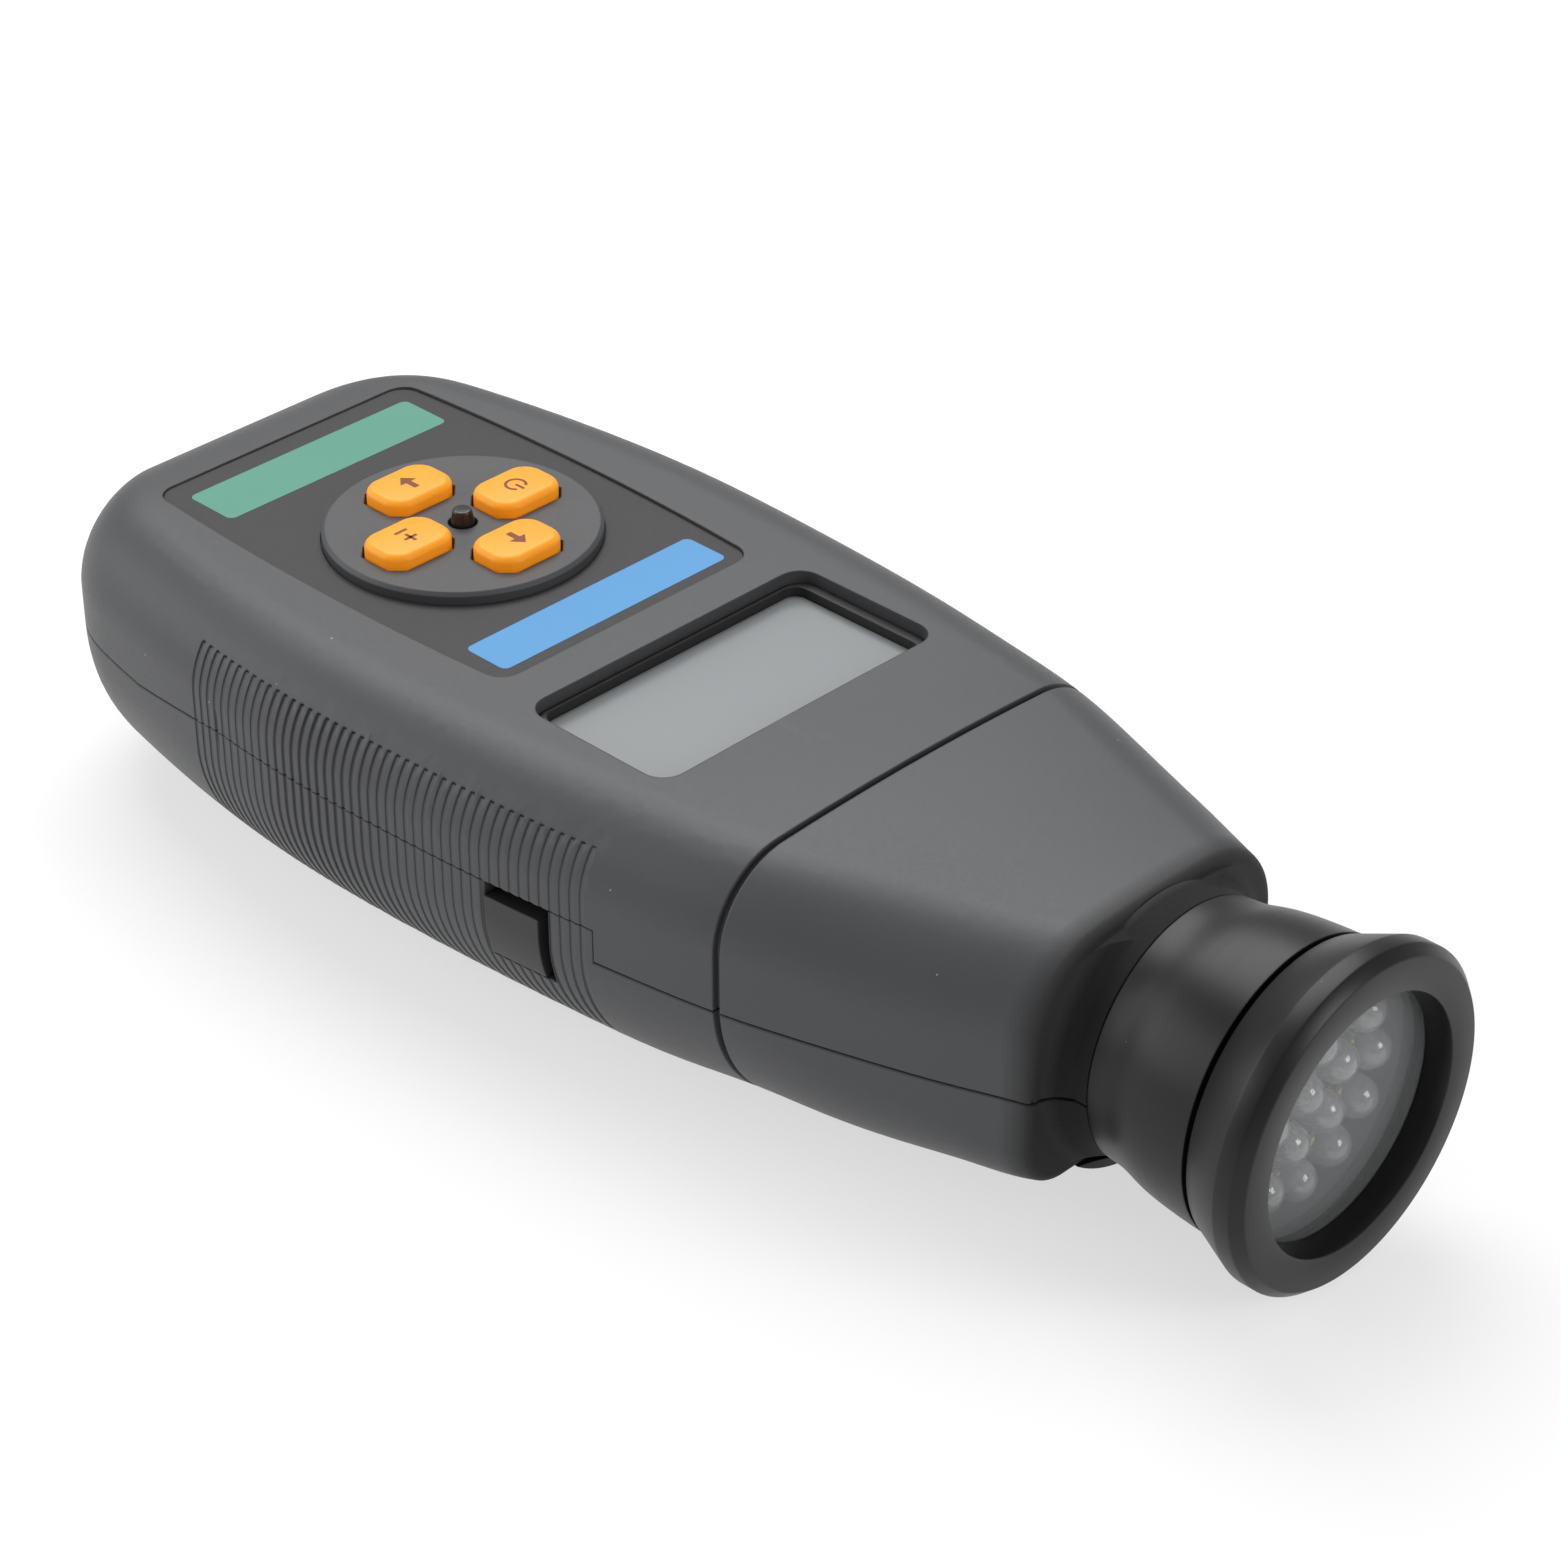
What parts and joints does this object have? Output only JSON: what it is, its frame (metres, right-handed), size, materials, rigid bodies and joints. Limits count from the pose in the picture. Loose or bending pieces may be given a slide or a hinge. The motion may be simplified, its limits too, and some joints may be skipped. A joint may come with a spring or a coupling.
{
  "type": "handheld stroboscope tachometer",
  "caption": "Hand-held strobe tachometer: tapered housing with display window, round keypad, sprung side key and a round multi-LED lamp head",
  "frame": {"origin": "middle of the footprint, on the surface that the flat back lies on", "axes": "+X along the housing towards the lamp, +Z out of the display face, -Y out of the flank with the side key"},
  "size_m": [0.1846, 0.0742, 0.0406],
  "materials": {
    "case_plastic": "satin dark-grey moulded plastic with a very fine texture",
    "label_film": "printed charcoal film with a plain green and a plain blue band",
    "key_orange": "semi-gloss orange moulded plastic",
    "stem_black": "gloss black",
    "frame_black": "satin dark plastic",
    "lens_grey": "smooth grey display lens",
    "lcd_glass": "display cell",
    "side_key_black": "satin black-grey plastic",
    "circuit_board": "green solder mask",
    "chip_black": "moulded package",
    "capacitor_sleeve": "shrunk sleeve",
    "lead_sheath": "soft sheath",
    "switch_body": "moulded switch body",
    "plunger_plastic": "hard plastic",
    "cell_jacket": "plain printed jacket",
    "contact_metal": "nickel-plated spring steel",
    "screw_steel": "zinc-plated",
    "lamp_black": "satin black anodised aluminium",
    "lamp_glass": "clear flat glass",
    "gasket_rubber": "soft black rubber",
    "tube_black": "dark inner wall",
    "led_clear": "water-clear epoxy"
  },
  "bodies": {
    "housing": {"upper_case": "case_plastic", "lower_case": "case_plastic", "nose_upper": "case_plastic", "nose_lower": "case_plastic", "face_label": "label_film", "display_frame": "frame_black", "display_lens": "lens_grey", "lcd_module": "lcd_glass", "main_board": "circuit_board", "side_board": "circuit_board", "controller_chip": "chip_black", "flash_capacitors": "capacitor_sleeve", "lamp_lead": "lead_sheath", "switch_up": "switch_body", "switch_down": "switch_body", "switch_power": "switch_body", "switch_fine": "switch_body", "switch_centre": "switch_body", "side_switch": "switch_body", "cell_1": "cell_jacket", "cell_2": "cell_jacket", "cell_3": "cell_jacket", "cell_4": "cell_jacket", "contact_plates": "contact_metal", "contact_spring_1": "contact_metal", "contact_spring_2": "contact_metal", "contact_spring_3": "contact_metal", "contact_spring_4": "contact_metal", "housing_screws": "screw_steel", "board_screws": "screw_steel", "lamp_neck": "lamp_black", "lamp_bezel": "lamp_black", "lamp_glass": "lamp_glass", "glass_gasket": "gasket_rubber", "reflector_tube": "tube_black", "led_board": "circuit_board", "leds": "led_clear"},
    "up_key": {"key_up": "key_orange", "plunger_up": "plunger_plastic"},
    "down_key": {"key_down": "key_orange", "plunger_down": "plunger_plastic"},
    "power_key": {"key_power": "key_orange", "plunger_power": "plunger_plastic"},
    "fine_key": {"key_fine": "key_orange", "plunger_fine": "plunger_plastic"},
    "stem": {"centre_stem": "stem_black", "plunger_centre": "plunger_plastic"},
    "trigger_key": {"side_key": "side_key_black", "side_plunger": "plunger_plastic"},
    "cover": {"battery_cover": "case_plastic"}
  },
  "joints": [
    {"name": "up_press", "type": "slide", "parent": "housing", "child": "up_key", "axis": [0, 0, -1], "range_m": [0, 0.0004], "stiffness_N_per_m": 2500, "springref_m": -0.0001},
    {"name": "down_press", "type": "slide", "parent": "housing", "child": "down_key", "axis": [0, 0, -1], "range_m": [0, 0.0004], "stiffness_N_per_m": 2500, "springref_m": -0.0001},
    {"name": "power_press", "type": "slide", "parent": "housing", "child": "power_key", "axis": [0, 0, -1], "range_m": [0, 0.0004], "stiffness_N_per_m": 2500, "springref_m": -0.0001},
    {"name": "fine_press", "type": "slide", "parent": "housing", "child": "fine_key", "axis": [0, 0, -1], "range_m": [0, 0.0004], "stiffness_N_per_m": 2500, "springref_m": -0.0001},
    {"name": "stem_press", "type": "slide", "parent": "housing", "child": "stem", "axis": [0, 0, -1], "range_m": [0, 0.0003], "stiffness_N_per_m": 2500, "springref_m": -0.0001},
    {"name": "side_press", "type": "slide", "parent": "housing", "child": "trigger_key", "axis": [0, 1, 0], "range_m": [0, 0.0008], "stiffness_N_per_m": 1500, "springref_m": -0.0002},
    {"name": "cover_lift", "type": "slide", "parent": "housing", "child": "cover", "axis": [0, 0, -1], "range_m": [0, 0.012]}
  ]
}
